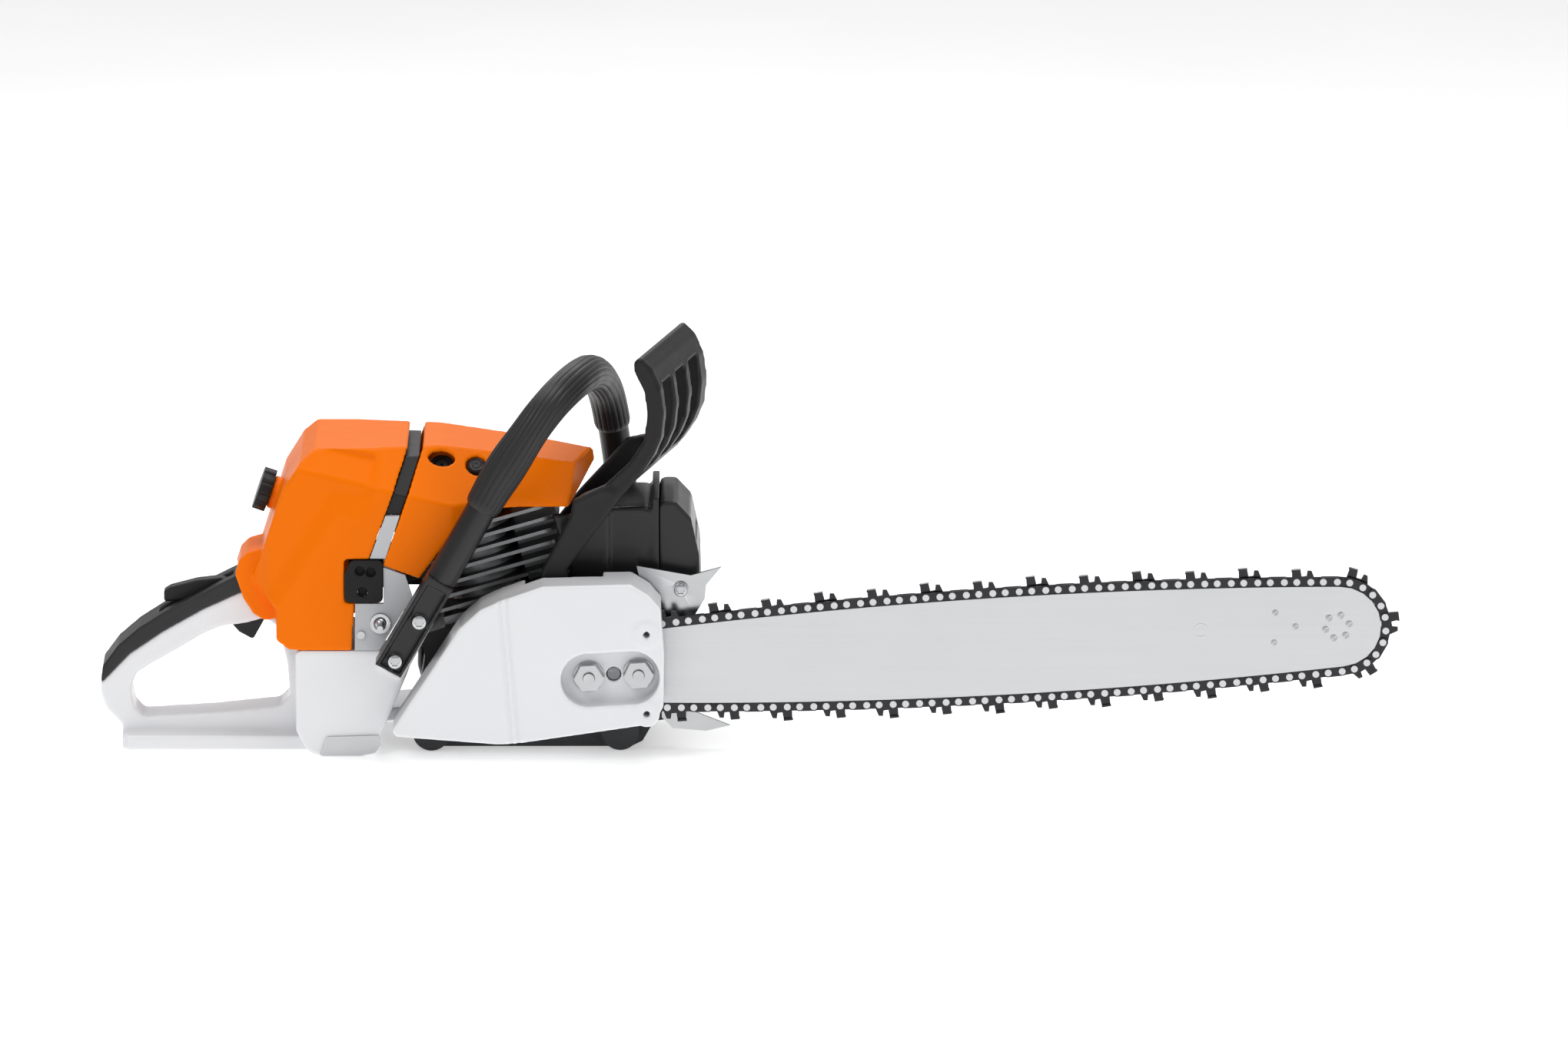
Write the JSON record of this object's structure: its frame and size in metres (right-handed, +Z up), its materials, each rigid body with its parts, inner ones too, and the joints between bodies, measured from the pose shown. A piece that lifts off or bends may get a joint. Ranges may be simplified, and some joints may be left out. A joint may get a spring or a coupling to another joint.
{
  "type": "chainsaw",
  "caption": "Petrol chainsaw with wrap front handle, hand guard, rear handle with throttle trigger, starter, guide bar and saw chain.",
  "frame": {"origin": "on the floor plane, straight below the crankshaft axis, in the rear handle's middle plane", "axes": "+X towards the bar tip, +Z up, -Y towards the sprocket cover, so +Y is the starter side"},
  "size_m": [0.9348, 0.2018, 0.2925],
  "materials": {
    "white_shell": "gloss",
    "panel_gray": "satin",
    "orange_shell": "gloss",
    "black_plastic": "satin",
    "soft_grip": "ribbed matt",
    "black_rubber": "matt",
    "black_metal": "satin black",
    "bright_steel": "bright",
    "dark_steel": "dark",
    "bar_steel": "satin",
    "chain_steel": "blued",
    "cutter_chrome": "bright",
    "rivet_steel": "bright",
    "cast_alloy": "dark cast",
    "engine_alloy": "cast",
    "filter_fleece": "fleece",
    "nylon": "matt",
    "rope": "braided"
  },
  "bodies": {
    "saw": {"tank_housing": "white_shell", "rear_grip_cover": "soft_grip", "wear_plate": "bright_steel", "rear_filter_cover": "orange_shell", "cylinder_cover": "orange_shell", "inner_shroud": "black_plastic", "control_panel": "panel_gray", "carb_grommet": "black_rubber", "panel_hardware": "bright_steel", "carburettor": "cast_alloy", "air_filter": "filter_fleece", "intake_boot": "black_rubber", "engine_cylinder": "engine_alloy", "spark_plug": "bright_steel", "spark_plug_cap": "black_rubber", "muffler": "black_metal", "muffler_front": "black_metal", "crankcase": "cast_alloy", "main_bearings": "bright_steel", "ignition_module": "black_plastic", "clutch_drum": "bright_steel", "drum_bearing": "bright_steel", "rim_sprocket": "dark_steel", "brake_band": "dark_steel", "oil_pump": "cast_alloy", "sprocket_cover": "white_shell", "bar_studs": "bright_steel", "bar_nuts": "bright_steel", "chain_tensioner": "dark_steel", "guide_bar": "bar_steel", "nose_sprocket": "dark_steel", "drive_links": "chain_steel", "tie_straps": "chain_steel", "cutters": "cutter_chrome", "chain_rivets": "rivet_steel", "bumper_spikes": "bright_steel", "starter_cover": "panel_gray", "starter_rope": "rope", "front_handle": "black_metal", "handle_sleeve": "soft_grip", "handle_bracket": "black_metal"},
    "hand_guard": {"hand_guard": "black_plastic"},
    "trigger": {"throttle_trigger": "black_plastic"},
    "interlock": {"trigger_interlock": "black_plastic"},
    "filter_knob": {"filter_cover_knob": "black_plastic"},
    "fuel_cap": {"fuel_cap": "black_plastic"},
    "oil_cap": {"oil_cap": "black_plastic"},
    "control_lever": {"control_lever": "black_plastic"},
    "heater_toggle": {"heater_switch": "bright_steel"},
    "decompression": {"decompression_button": "black_plastic"},
    "starter_grip": {"starter_grip": "black_plastic"},
    "rope_rotor": {"rope_rotor": "nylon"},
    "crank": {"crankshaft": "dark_steel", "flywheel": "engine_alloy", "clutch_hub": "dark_steel", "clutch_shoes": "dark_steel"},
    "piston": {"piston": "engine_alloy", "wrist_pin": "bright_steel", "connecting_rod": "dark_steel", "crank_pin": "dark_steel"}
  },
  "joints": [
    {"name": "hand_guard_pivot", "type": "hinge", "parent": "saw", "child": "hand_guard", "pos_m": [0.032, 0, 0.118], "axis": [0, 1, 0], "range_deg": [0, 11]},
    {"name": "trigger_pull", "type": "hinge", "parent": "saw", "child": "trigger", "pos_m": [-0.178, 0, 0.106], "axis": [0, 1, 0], "range_deg": [0, 20], "stiffness_Nm_per_rad": 0.3, "springref_deg": -5.73},
    {"name": "interlock_press", "type": "hinge", "parent": "saw", "child": "interlock", "pos_m": [-0.204, 0, 0.111], "axis": [0, -1, 0], "range_deg": [0, 12], "stiffness_Nm_per_rad": 0.3, "springref_deg": -8.59},
    {"name": "filter_knob_turn", "type": "hinge", "parent": "saw", "child": "filter_knob", "pos_m": [-0.165, 0.006, 0.18], "axis": [-0.9455, 0, 0.3256], "continuous": true},
    {"name": "fuel_cap_turn", "type": "hinge", "parent": "saw", "child": "fuel_cap", "pos_m": [-0.118, 0.058, 0.04], "axis": [0, 1, 0], "range_deg": [-90, 0]},
    {"name": "oil_cap_turn", "type": "hinge", "parent": "saw", "child": "oil_cap", "pos_m": [0.076, 0.06, 0.045], "axis": [0, 1, 0], "range_deg": [-90, 0]},
    {"name": "control_lever_turn", "type": "hinge", "parent": "saw", "child": "control_lever", "pos_m": [-0.14, 0.07, 0.112], "axis": [0, 1, 0], "range_deg": [-20, 20]},
    {"name": "heater_toggle_tilt", "type": "hinge", "parent": "saw", "child": "heater_toggle", "pos_m": [-0.092, -0.051, 0.0978], "axis": [1, 0, 0], "range_deg": [-16, 0]},
    {"name": "decompression_press", "type": "slide", "parent": "saw", "child": "decompression", "axis": [0, 0.6691, -0.7431], "range_m": [0, 0.004], "stiffness_N_per_m": 300, "springref_m": -0.003},
    {"name": "starter_pull", "type": "slide", "parent": "saw", "child": "starter_grip", "axis": [0, 0, 1], "range_m": [0, 0.85]},
    {"name": "rope_rotor_turn", "type": "hinge", "parent": "saw", "child": "rope_rotor", "pos_m": [0, 0.1, 0.059], "axis": [0, 1, 0], "range_deg": [0, 2215]},
    {"name": "crank_spin", "type": "hinge", "parent": "saw", "child": "crank", "pos_m": [0, 0, 0.059], "axis": [0, 1, 0], "continuous": true},
    {"name": "piston_stroke", "type": "slide", "parent": "saw", "child": "piston", "axis": [0.2756, 0, -0.9613], "range_m": [0, 0.036]}
  ],
  "couplings": [
    {"joint": "rope_rotor_turn", "follows": "starter_pull", "rad_per_m": 45.455}
  ]
}
